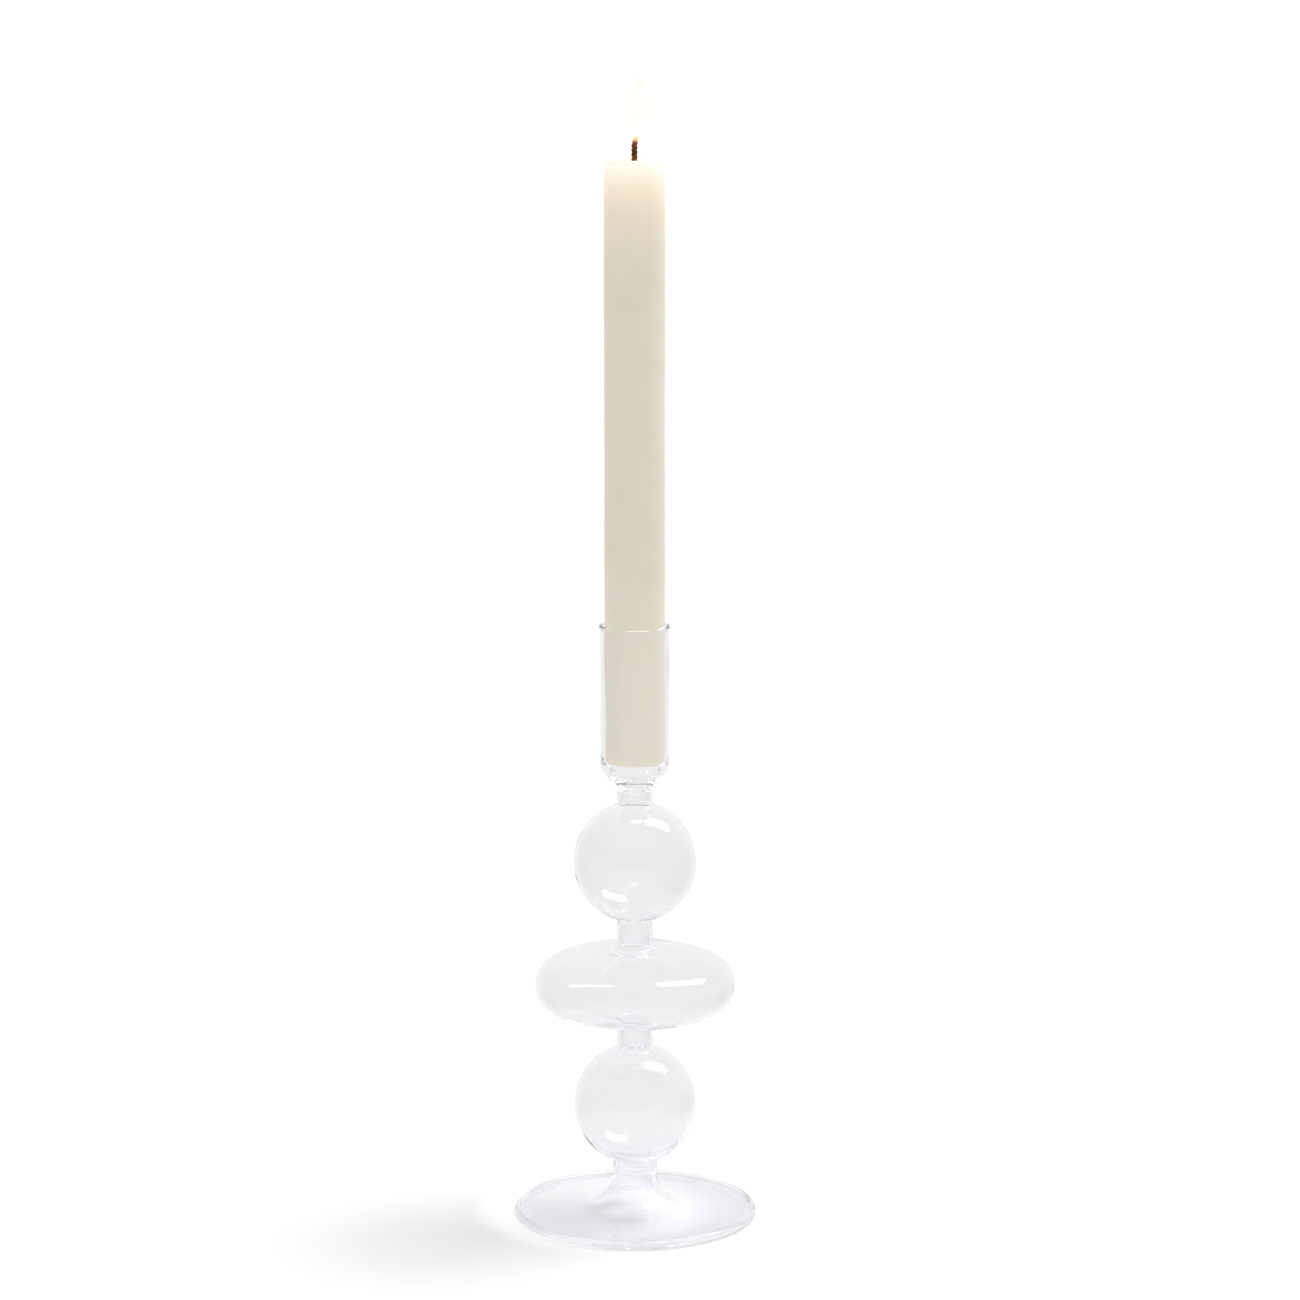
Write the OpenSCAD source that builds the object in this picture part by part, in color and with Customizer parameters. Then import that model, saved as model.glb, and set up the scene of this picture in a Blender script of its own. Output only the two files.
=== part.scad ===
// Lampworked glass candlestick with a dinner candle.
// Nine blown or drawn lengths of clear glass are fused end to end on one axis, and the candle
// slips into the cup at the top. Origin: centre of the ring that the foot rests on. +Z is up.

/* [Glass] */
// Wall of the blown balls and disc
wall = 1.3; // [1:0.1:1.6]
// Outer diameter of the three slim necks
neck_d = 13; // [11:0.5:15]
// Wall of the neck tubes
neck_wall = 1.5; // [1.2:0.1:2]

/* [Foot] */
// Outer diameter of the foot
foot_d = 90; // [76:1:110]
// Height of the trumpet-shaped foot
foot_h = 16.3; // [14:0.1:20]
// Thickness of the foot's web
foot_wall = 1.6; // [1.2:0.1:2]
// Radius of the fire-polished bead round the foot
foot_bead_r = 1.75; // [1.5:0.05:2.2]
// Outer diameter of the neck above the foot
foot_neck_d = 16.4; // [14:0.2:18]
// Length of the neck above the foot
foot_neck_l = 5.3; // [4:0.1:9]

/* [Balls] */
// Outer diameter of both balls
ball_d = 45; // [38:0.5:52]
// Length of the neck between the upper ball and the cup
upper_neck_l = 5.7; // [4:0.1:12]

/* [Disc] */
// Outer diameter of the flattened bubble
disc_d = 73.6; // [64:0.2:84]
// Thickness of the flattened bubble
disc_h = 29.8; // [26:0.2:34]
// Radius of the flattened bubble's rounded edge
disc_edge_r = 10; // [8:0.5:12]
// Depth of the shallow hollow round the neck on its upper face
disc_dip = 2.2; // [0:0.1:3]
// Length of the neck under the flattened bubble
disc_lower_neck_l = 10; // [7:0.1:16]
// Length of the neck on top of the flattened bubble
disc_upper_neck_l = 11.7; // [8:0.1:18]

/* [Cup] */
// Gap between the candle and the cup, on the radius
candle_gap = 0.3; // [0.2:0.05:0.5]
// Wall of the cup's tube
cup_wall = 1.2; // [1:0.1:1.6]
// Height of the cup, from the neck to the middle of its rim bead
cup_h = 60.6; // [44:0.2:80]
// Height over which the cup opens from the neck to the tube
cup_cone_h = 8.6; // [7.5:0.1:10]
// Radius of the fire-polished bead round the rim
cup_bead_r = 0.85; // [0.75:0.05:1]

/* [Candle] */
// Diameter of the candle
candle_d = 22; // [20:0.5:24]
// Length of wax left on the candle
candle_l = 219.5; // [80:0.5:240]
// How much narrower than the candle its lower end is
candle_base_step = 0.2; // [0.1:0.1:4]
// Length over which the candle narrows to its lower end
candle_taper_l = 18; // [10:1:40]
// Diameter of the wick
wick_d = 2.2; // [1.4:0.1:2.6]
// Length of wick that stands out of the wax
wick_free = 8.8; // [5:0.1:10]

/* [Hidden] */
$fn = 96;

neck_r = neck_d / 2;
bore_r = neck_r - neck_wall;
ball_r = ball_d / 2;

// Fillets where the necks run out on the blown forms
ball_fillet = 1.5;
foot_fillet = 1;
disc_lower_fillet = 2.5;
disc_upper_fillet = 3;
cup_fillet = 0.8;

// Points along an arc about centre c, from angle a to angle b
function arc(c, r, a, b, steps = 8) =
    [for (i = [0:steps]) let (t = a + (b - a) * i / steps) c + r * [cos(t), sin(t)]];
// Radius at which a neck's fillet runs out on a ball or crown of radius form_r
function join_r(r, fillet, form_r) = (r + fillet) / (1 + fillet / form_r);
// Distance from a ball's centre to its flat end, where its section has radius r
function ball_cut(r) = sqrt(ball_r ^ 2 - r ^ 2);

// Foot: a bead with a narrow flat ground under it, a thin web and a flare up to the neck
foot_neck_r = foot_neck_d / 2;
foot_bore_r = foot_neck_r - foot_wall;
foot_flat = 0.15;
bead_c = [foot_d / 2 - foot_bead_r, foot_bead_r - foot_flat];
flare_r = 10.5;
flare_c = [foot_neck_r + flare_r, foot_h - 1.2];

// Disc: each face is one large arc that runs smoothly into the rounded edge
disc_half = disc_h / 2;
edge_c = disc_d / 2 - disc_edge_r;
crown_r = (edge_c ^ 2 + disc_half ^ 2 - disc_edge_r ^ 2) / (2 * (disc_half - disc_edge_r));
crown_angle = asin(edge_c / (crown_r - disc_edge_r));
dip_r = 18;
// Height of a face above the disc's middle at radius r, for a skin drawn in by inset
function crown(r, inset = 0) = sqrt((crown_r - inset) ^ 2 - r ^ 2) - crown_r + disc_half;
// The same for the upper face, which sinks round the neck
function upper_face(r, inset = 0) =
    crown(r, inset) - (r < dip_r ? disc_dip * (1 + cos(180 * r / dip_r)) / 2 : 0);
// Points of a skin of the disc, from low_r on the lower face round the edge to high_r on the upper
function disc_skin(inset, low_r, high_r, steps = 12) =
    let (tangent_r = edge_c + (disc_edge_r - inset) * sin(crown_angle))
    concat(
        [for (i = [0:steps - 1]) let (r = low_r + (tangent_r - low_r) * i / steps)
            [r, -crown(r, inset)]],
        arc([edge_c, 0], disc_edge_r - inset, crown_angle - 90, 90 - crown_angle, 24),
        [for (i = [1:steps]) let (r = tangent_r + (high_r - tangent_r) * i / steps)
            [r, upper_face(r, inset)]]
    );

// Cup: a cone opens from the neck to the tube with a rounded shoulder, and the hollow inside
// ends in a round bottom above a solid floor, so wax can't run down into the stem
candle_r = candle_d / 2;
cup_inner_r = candle_r + candle_gap;
cup_outer_r = cup_inner_r + cup_wall;
cup_floor = 2;
cup_shoulder_r = 2.5;
cup_slope = atan2(cup_cone_h, cup_outer_r - neck_r);
cup_join_r = neck_r + cup_fillet * (1 - sin(cup_slope));
shoulder_c = [
    cup_outer_r - cup_shoulder_r,
    (cup_outer_r - cup_join_r) * tan(cup_slope) + cup_shoulder_r * tan((90 - cup_slope) / 2)
];

// Radii at which the necks meet the blown forms
ball_join_r = join_r(neck_r, ball_fillet, ball_r);
foot_join_r = join_r(foot_neck_r, foot_fillet, ball_r);
disc_lower_join_r = join_r(neck_r, disc_lower_fillet, crown_r);
disc_upper_join_r = neck_r + disc_upper_fillet;
ball_join_slope = asin(ball_join_r / ball_r);

// Heights, built up from the foot
lower_ball_z = foot_h + foot_neck_l + ball_cut(foot_join_r);
disc_lower_neck_z = lower_ball_z + ball_cut(ball_join_r);
disc_z = disc_lower_neck_z + disc_lower_neck_l + crown(disc_lower_join_r);
disc_upper_neck_z = disc_z + upper_face(disc_upper_join_r);
upper_ball_z = disc_upper_neck_z + disc_upper_neck_l + ball_cut(ball_join_r);
upper_neck_z = upper_ball_z + ball_cut(ball_join_r);
cup_z = upper_neck_z + upper_neck_l;

// Candle: the edge of its lower end rests in the cup's round bottom, a hair's breadth clear of it
candle_base_r = (candle_d - candle_base_step) / 2;
candle_base_edge = 0.4;
candle_top_edge = 1.6;
rest_gap = 0.15;
candle_z = cup_z + cup_floor + cup_inner_r - candle_base_edge
    - sqrt((cup_inner_r - rest_gap - candle_base_edge) ^ 2
           - (candle_base_r - candle_base_edge) ^ 2);
pool_r = candle_r - candle_top_edge;
pool_depth = 1;
wick_r = wick_d / 2;
wick_tip_r = 0.6;

module glass() {
    color("lightcyan", 0.4) children();
}

// Outline of a neck's lower or upper end: a fillet onto a surface that slopes away from the neck
function low_end(r, fillet, slope) =
    arc([r + fillet, fillet * cos(slope)], fillet, 270 - slope, 180);
function high_end(r, length, fillet, slope) =
    arc([r + fillet, length - fillet * cos(slope)], fillet, 180, 90 + slope);

// Neck tube whose outline runs through the given points
module neck(z, length, inner_r, outline) {
    glass()
        translate([0, 0, z])
            rotate_extrude()
                polygon(concat([[inner_r, 0]], outline, [[inner_r, length]]));
}

// Blown ball, cut flat at both ends where the necks join it
module ball(z, low_r, high_r) {
    glass()
        translate([0, 0, z])
            rotate_extrude()
                intersection() {
                    difference() {
                        circle(ball_r);
                        circle(ball_r - wall);
                    }
                    translate([bore_r, -ball_cut(low_r)])
                        square([ball_d, ball_cut(low_r) + ball_cut(high_r)]);
                }
}

module foot() {
    glass()
        rotate_extrude() {
            intersection() {
                translate(bead_c) circle(foot_bead_r);
                square(foot_d);
            }
            polygon(concat(
                [[foot_neck_r, foot_h], [foot_bore_r, foot_h]],
                arc(flare_c, flare_r + foot_wall, 180, 270, 18),
                [bead_c - [0, foot_wall / 2], bead_c + [0, foot_wall / 2]],
                arc(flare_c, flare_r, 270, 180, 18)
            ));
        }
}

module foot_neck() {
    neck(foot_h, foot_neck_l, foot_bore_r, concat(
        [[foot_neck_r, 0]],
        high_end(foot_neck_r, foot_neck_l, foot_fillet, asin(foot_join_r / ball_r))
    ));
}

module lower_ball() {
    ball(lower_ball_z, foot_join_r, ball_join_r);
}

module disc_lower_neck() {
    neck(disc_lower_neck_z, disc_lower_neck_l, bore_r, concat(
        low_end(neck_r, ball_fillet, ball_join_slope),
        high_end(neck_r, disc_lower_neck_l, disc_lower_fillet, asin(disc_lower_join_r / crown_r))
    ));
}

module disc() {
    outer = disc_skin(0, disc_lower_join_r, disc_upper_join_r);
    inner = disc_skin(wall, bore_r, bore_r);
    glass()
        translate([0, 0, disc_z])
            rotate_extrude()
                polygon(concat(
                    [[bore_r, outer[0][1]]],
                    outer,
                    [[bore_r, outer[len(outer) - 1][1]]],
                    [for (i = [len(inner) - 1:-1:0]) inner[i]]
                ));
}

module disc_upper_neck() {
    neck(disc_upper_neck_z, disc_upper_neck_l, bore_r, concat(
        low_end(neck_r, disc_upper_fillet, 0),
        high_end(neck_r, disc_upper_neck_l, ball_fillet, ball_join_slope)
    ));
}

module upper_ball() {
    ball(upper_ball_z, ball_join_r, ball_join_r);
}

module upper_neck() {
    neck(upper_neck_z, upper_neck_l, bore_r, concat(
        low_end(neck_r, ball_fillet, ball_join_slope),
        high_end(neck_r, upper_neck_l, cup_fillet, cup_slope)
    ));
}

module candle_cup() {
    glass()
        translate([0, 0, cup_z])
            rotate_extrude() {
                translate([cup_outer_r - cup_wall / 3, cup_h]) circle(cup_bead_r);
                polygon(concat(
                    [[0, 0], [cup_join_r, 0]],
                    arc(shoulder_c, cup_shoulder_r, cup_slope - 90, 0),
                    [[cup_outer_r, cup_h], [cup_inner_r, cup_h]],
                    arc([0, cup_floor + cup_inner_r], cup_inner_r, 0, -90, 24)
                ));
            }
}

module candle() {
    color("ivory")
        translate([0, 0, candle_z])
            rotate_extrude()
                polygon(concat(
                    [[wick_r, 0]],
                    arc([candle_base_r - candle_base_edge, candle_base_edge],
                        candle_base_edge, -90, 0),
                    [[candle_r, candle_taper_l]],
                    arc([pool_r, candle_l - candle_top_edge], candle_top_edge, 0, 90),
                    [for (i = [8:-1:0]) let (r = wick_r + (pool_r - wick_r) * i / 9)
                        [r, candle_l - pool_depth * (1 - (r / pool_r) ^ 2)]]
                ));
}

module wick() {
    length = candle_l - pool_depth + wick_free;
    color("saddlebrown")
        translate([0, 0, candle_z])
            rotate_extrude()
                polygon(concat(
                    [[0, 0], [wick_r, 0]],
                    arc([wick_r - wick_tip_r, length - wick_tip_r], wick_tip_r, 0, 90),
                    [[0, length]]
                ));
}

foot();
foot_neck();
lower_ball();
disc_lower_neck();
disc();
disc_upper_neck();
upper_ball();
upper_neck();
candle_cup();
candle();
wick();
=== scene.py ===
"""Looks of a clear lampworked candlestick with a lit dinner candle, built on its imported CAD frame.

The real stem is one skin of borosilicate glass: nine lengths of tube and blown bubble, fused end
to end in a flame. So one outline runs up the whole stem, the hand work that makes it uneven is one
field in space, and each length is cut from that outline at its ends. Sizes are in millimetres, as
the maker would give them, and turn to metres when a mesh is made.
"""

import logging
import math
from dataclasses import dataclass, field
from enum import Enum
from typing import Any, Callable, Sequence

import bpy
import numpy as np
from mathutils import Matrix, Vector


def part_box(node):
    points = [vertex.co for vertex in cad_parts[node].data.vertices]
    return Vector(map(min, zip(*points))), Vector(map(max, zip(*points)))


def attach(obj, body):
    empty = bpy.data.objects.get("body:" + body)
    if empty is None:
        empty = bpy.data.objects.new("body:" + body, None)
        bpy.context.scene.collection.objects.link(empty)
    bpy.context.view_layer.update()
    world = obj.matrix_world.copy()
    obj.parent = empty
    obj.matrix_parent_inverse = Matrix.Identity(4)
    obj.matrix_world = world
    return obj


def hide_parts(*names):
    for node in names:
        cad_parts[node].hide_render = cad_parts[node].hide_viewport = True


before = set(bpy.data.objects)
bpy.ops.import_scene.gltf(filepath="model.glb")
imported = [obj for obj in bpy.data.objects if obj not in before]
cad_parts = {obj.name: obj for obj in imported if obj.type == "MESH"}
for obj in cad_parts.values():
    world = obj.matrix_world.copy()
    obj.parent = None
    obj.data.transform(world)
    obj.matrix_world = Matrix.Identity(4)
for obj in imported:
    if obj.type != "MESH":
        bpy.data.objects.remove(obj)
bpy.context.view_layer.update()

MM = 0.001
LOG = logging.getLogger("candlestick")
Array = np.ndarray
Node = bpy.types.Node
Colour = tuple[float, float, float, float]

# longest distance between the points of an outline, and of a small bead, in millimetres
OUTLINE_STEP = 0.25
BEAD_STEP = 0.12
# stands in for nothing where a length is divided by
TINY = 1e-9


class Body(str, Enum):
    """The two bodies of the frame that pieces ride on."""

    GLASS = "candlestick"
    CANDLE = "candle_and_wick"


class Slot(str, Enum):
    """The record's material slots."""

    GLASS = "clear_glass"
    WAX = "ivory_wax"
    WICK = "charred_wick"
    FLAME = "flame"


# ---------------------------------------------------------------- finishes


def linear(colour: str) -> Colour:
    """Turns an sRGB hex colour into linear red, green, blue and an alpha of 1.

    Args:
        colour: six hex digits, such as "F4EEDD".

    Returns:
        The four linear values.
    """
    parts = [int(colour[i : i + 2], 16) / 255 for i in (0, 2, 4)]
    values = [c / 12.92 if c <= 0.04045 else ((c + 0.055) / 1.055) ** 2.4 for c in parts]
    return values[0], values[1], values[2], 1.0


def grey(value: float, more_blue: float = 0.0) -> Colour:
    """Makes a grey colour of one linear value."""
    return value, value, value + more_blue, 1.0


def per_mm(size: float) -> float:
    """Gives the scale of a texture whose features are about size millimetres long."""
    return 1 / (size * MM)


class Shading:
    """A node tree that is being built."""

    def __init__(self, tree: bpy.types.NodeTree) -> None:
        """Starts with an empty tree."""
        self.tree = tree
        tree.nodes.clear()

    def add(
        self,
        kind: str,
        inputs: dict[Any, Any] | None = None,
        ramp: Sequence[tuple[float, Colour]] = (),
        **settings: Any,
    ) -> Node:
        """Adds one node with its settings and links.

        Args:
            kind: the node's type, such as "TexNoise".
            inputs: for each input, by name or index, its value, its source socket, or the node
                whose first enabled output is its source.
            ramp: position and colour of each stop, for a colour ramp.
            settings: the node's own properties.

        Returns:
            The new node.
        """
        node = self.tree.nodes.new(f"ShaderNode{kind}")
        for name, value in settings.items():
            setattr(node, name, value)
        for key, value in (inputs or {}).items():
            if isinstance(value, Node):
                value = next(socket for socket in value.outputs if socket.enabled)
            if isinstance(value, bpy.types.NodeSocket):
                self.tree.links.new(value, node.inputs[key])
            else:
                node.inputs[key].default_value = value
        for i, (position, colour) in enumerate(ramp):
            stops = node.color_ramp.elements
            stop = stops[i] if i < len(stops) else stops.new(position)
            stop.position = position
            stop.color = colour
        return node


class Finish:
    """A real material with its surface."""

    name: str

    def surface(self, nodes: Shading) -> Node:
        """Builds the nodes and returns the last shader."""
        raise NotImplementedError

    def material(self) -> bpy.types.Material:
        """Makes the material.

        Returns:
            The material, with this finish's surface.
        """
        material = bpy.data.materials.new(self.name)
        material.use_nodes = True
        nodes = Shading(material.node_tree)
        nodes.add("OutputMaterial", {"Surface": self.surface(nodes)})
        return material


@dataclass(frozen=True)
class BorosilicateGlass(Finish):
    """Clear borosilicate glass, drawn and blown in a flame.

    Fire polish leaves it bright and smooth, with soft ripples a few millimetres long. Each face
    takes a little light, so the hollow forms read as a pale grey with a hint of lavender.
    """

    name: str = "borosilicate_glass"
    ior: float = 1.474
    tint: str = "FCFCFD"
    shade: str = "FDFDFE"
    rim_shade: str = "484848"
    ripple_mm: float = 5.0
    ripple_depth_mm: float = 0.02
    ripple_squash: float = 2.2
    cord_mm: float = 1.6
    haze: float = 0.012

    def surface(self, nodes: Shading) -> Node:
        """Builds the finish's nodes.

        Args:
            nodes: the material's node tree.

        Returns:
            The last shader.
        """
        place = nodes.add("TexCoord").outputs["Object"]
        # the ripples lie across the stem, because the glass turns in the flame
        turned = nodes.add("Mapping", {"Vector": place, "Scale": (1.0, 1.0, self.ripple_squash)})
        ripple = nodes.add("TexNoise", {
            "Vector": turned, "Scale": per_mm(self.ripple_mm), "Detail": 1.5, "Roughness": 0.45,
            "Distortion": 0.6,
        })
        # cords are threads of slightly different glass; here they are a faint change of gloss,
        # drawn as bands, which have 20 waves to a unit of scale
        cord = nodes.add("TexWave", {
            "Vector": turned, "Scale": per_mm(self.cord_mm) / 20, "Distortion": 7.0,
            "Detail": 2.0, "Detail Scale": 1.4,
        }, wave_type="BANDS", bands_direction="Z")
        bump = nodes.add(
            "Bump", {"Height": ripple, "Strength": 0.35, "Distance": self.ripple_depth_mm * MM}
        )
        gloss = nodes.add("MapRange", {"Value": cord.outputs["Fac"], "To Max": self.haze})
        shader = nodes.add("BsdfPrincipled", {
            "Base Color": linear(self.tint), "Roughness": gloss, "IOR": self.ior,
            "Transmission Weight": 1.0, "Normal": bump,
        })
        # lamplight and light from matt surfaces pass straight through the thin walls
        path = nodes.add("LightPath").outputs
        passing = nodes.add(
            "Math", {0: path["Is Shadow Ray"], 1: path["Is Diffuse Ray"]}, operation="MAXIMUM"
        )
        # and where a lamp's rays graze a wall, they are bent away from what lies behind
        slant = nodes.add("LayerWeight", {"Blend": 0.5}).outputs["Facing"]
        bent = nodes.add("Math", {0: slant, 1: path["Is Shadow Ray"]}, operation="MULTIPLY")
        square, grazing = linear(self.shade), linear(self.rim_shade)
        shade = nodes.add(
            "ValToRGB", {"Fac": bent}, ramp=[(0.0, square), (0.15, square), (0.65, grazing)]
        )
        clear = nodes.add("BsdfTransparent", {"Color": shade})
        return nodes.add("MixShader", {0: passing, 1: shader, 2: clear})


@dataclass(frozen=True)
class FusedFace(Finish):
    """The face where two lengths of glass were melted together.

    Nothing is left of it in the real glass, so it is wholly clear and bends no light.
    """

    name: str = "fused_glass_joint"

    def surface(self, nodes: Shading) -> Node:
        """Builds the nodes and returns the last shader."""
        return nodes.add("BsdfTransparent", {"Color": grey(1.0)})


@dataclass(frozen=True)
class DinnerWax(Finish):
    """Ivory candle wax, pressed and dipped.

    The wax is satin and slightly see-through, so light bleeds a few millimetres into it, and the
    skin has faint streaks down its length. Painted light, given as emission, stands in for the flame
    lighting up the top centimetre or two and for the light that the glass cup gathers on the wax.
    """

    body_top_z: float
    rim_z: float
    name: str = "ivory_candle_wax"
    ivory: str = "F3EDDF"
    cream: str = "EDE5D2"
    ior: float = 1.43
    bleed_mm: float = 3.0
    streak_mm: float = 1.4
    streak_depth_mm: float = 0.05
    bloom_mm: float = 14.0
    painted_flame_light_mm: float = 45.0
    painted_light_strength: float = 0.55
    painted_flame_light_ramp: tuple[tuple[float, Colour], ...] = (
        (0.0, (0.80, 0.78, 0.74, 1)), (0.12, (0.56, 0.50, 0.42, 1)), (0.24, (0.42, 0.28, 0.17, 1)),
        (0.42, (0.18, 0.11, 0.05, 1)), (0.70, (0.07, 0.04, 0.02, 1)), (1.0, (0.0, 0.0, 0.0, 1)),
    )
    painted_cup_light_fade_mm: float = 30.0
    painted_cup_light_strength: float = 0.06

    def surface(self, nodes: Shading) -> Node:
        """Builds the finish's nodes.

        Args:
            nodes: the material's node tree.

        Returns:
            The last shader.
        """
        place = nodes.add("TexCoord").outputs["Object"]
        drawn = nodes.add("Mapping", {"Vector": place, "Scale": (1.0, 1.0, 0.06)})
        streak = nodes.add(
            "TexNoise", {"Vector": drawn, "Scale": per_mm(self.streak_mm), "Detail": 3.0}
        )
        bloom = nodes.add(
            "TexNoise", {"Vector": place, "Scale": per_mm(self.bloom_mm), "Detail": 4.0}
        )
        colour = nodes.add(
            "Mix", {"Factor": bloom, "A": linear(self.ivory), "B": linear(self.cream)},
            data_type="RGBA",
        )
        gloss = nodes.add("MapRange", {"Value": streak, "To Min": 0.30, "To Max": 0.46})
        skin = nodes.add(
            "Bump", {"Height": streak, "Strength": 0.25, "Distance": self.streak_depth_mm * MM}
        )
        # painted flame light: emission that stands in for the flame's light shining through the wax,
        # white at the rim, amber below, then nothing
        height = nodes.add("SeparateXYZ", {"Vector": place}).outputs["Z"]
        depth = nodes.add("MapRange", {
            "Value": height, "From Min": self.body_top_z * MM,
            "From Max": (self.body_top_z - self.painted_flame_light_mm) * MM,
        })
        painted_flame_light = nodes.add("ValToRGB", {"Fac": depth}, ramp=self.painted_flame_light_ramp)
        # painted light: emission that stands in for light the glass cup gathers on the wax in it
        painted_cup_light = nodes.add("MapRange", {
            "Value": height, "From Min": (self.rim_z + self.painted_cup_light_fade_mm) * MM,
            "From Max": self.rim_z * MM, "To Max": self.painted_cup_light_strength,
        }, interpolation_type="SMOOTHSTEP")
        lit = nodes.add(
            "Mix", {"Factor": painted_cup_light, "A": painted_flame_light, "B": colour}, data_type="RGBA", blend_type="ADD"
        )
        # the emission is painted light only: the flame's light near the top, the cup's light lower
        # down
        return nodes.add("BsdfPrincipled", {
            "Base Color": colour, "Roughness": gloss, "IOR": self.ior, "Subsurface Weight": 0.7,
            "Subsurface Radius": (1.0, 0.75, 0.5), "Subsurface Scale": self.bleed_mm * MM,
            "Normal": skin, "Emission Color": lit, "Emission Strength": self.painted_light_strength,
        })


@dataclass(frozen=True)
class CharredCotton(Finish):
    """Braided cotton wick, dipped in wax and charred where it burns.

    Waxed cotton is cream, scorched wick is red-brown, and the very tip glows.
    """

    top_z: float
    wax_z: float
    name: str = "charred_cotton_wick"
    waxed: str = "D9C39A"
    scorched: str = "8A4F2C"
    charred: str = "57301A"
    ember: str = "FF8A3C"
    fibre_mm: float = 0.25
    fibre_depth_mm: float = 0.08

    def surface(self, nodes: Shading) -> Node:
        """Builds the finish's nodes.

        Args:
            nodes: the material's node tree.

        Returns:
            The last shader.
        """
        place = nodes.add("TexCoord").outputs["Object"]
        fibre = nodes.add(
            "TexNoise", {"Vector": place, "Scale": per_mm(self.fibre_mm), "Detail": 4.0}
        )
        height = nodes.add("MapRange", {
            "Value": nodes.add("SeparateXYZ", {"Vector": place}).outputs["Z"],
            "From Min": self.wax_z * MM, "From Max": self.top_z * MM,
        })
        uneven = nodes.add("Math", {0: fibre, 1: 0.16, 2: height}, operation="MULTIPLY_ADD")
        waxed, scorched = linear(self.waxed), linear(self.scorched)
        burn = nodes.add("ValToRGB", {"Fac": uneven}, ramp=[
            (0.0, waxed), (0.16, scorched), (0.45, linear(self.charred)), (0.85, scorched),
            (1.0, waxed),
        ])
        heat = nodes.add(
            "MapRange", {"Value": uneven, "From Min": 0.86, "From Max": 1.04, "To Max": 1.6}
        )
        bump = nodes.add(
            "Bump", {"Height": fibre, "Strength": 0.6, "Distance": self.fibre_depth_mm * MM}
        )
        return nodes.add("BsdfPrincipled", {
            "Base Color": burn, "Roughness": 0.85, "Specular IOR Level": 0.15, "Normal": bump,
            "Emission Color": linear(self.ember), "Emission Strength": heat,
        })


@dataclass(frozen=True)
class CandleFlame(Finish):
    """Burning wax vapour, which gives light and has no surface.

    It is clear and faintly blue round the wick, and cream-white above, softer towards its edge.
    """

    low_z: float
    high_z: float
    name: str = "candle_flame"
    strength: float = 1.18
    root: str = "C9D4FF"
    heart: str = "FFF8E9"
    tip: str = "FBF3D6"
    body: tuple[tuple[float, float], ...] = (
        (0.0, 0.0), (0.12, 0.1), (0.4, 0.9), (0.9, 0.9), (1.0, 0.6),
    )

    def surface(self, nodes: Shading) -> Node:
        """Builds the finish's nodes.

        Args:
            nodes: the material's node tree.

        Returns:
            The last shader.
        """
        place = nodes.add("TexCoord").outputs["Object"]
        height = nodes.add("MapRange", {
            "Value": nodes.add("SeparateXYZ", {"Vector": place}).outputs["Z"],
            "From Min": self.low_z * MM, "From Max": self.high_z * MM,
        })
        heart = linear(self.heart)
        colour = nodes.add(
            "ValToRGB", {"Fac": height},
            ramp=[(0.0, linear(self.root)), (0.18, heart), (0.8, heart), (1.0, linear(self.tip))],
        )
        solid = nodes.add("ValToRGB", {"Fac": height}, ramp=[(at, grey(v)) for at, v in self.body])
        rim = nodes.add("LayerWeight", {"Blend": 0.35}).outputs["Facing"]
        middle = nodes.add("Math", {0: 1.0, 1: rim}, operation="SUBTRACT")
        share = nodes.add("Math", {0: solid, 1: middle}, operation="MULTIPLY")
        light = nodes.add("Emission", {"Color": colour, "Strength": self.strength})
        clear = nodes.add("BsdfTransparent", {"Color": grey(1.0)})
        return nodes.add("MixShader", {0: share, 1: clear, 2: light})


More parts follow.
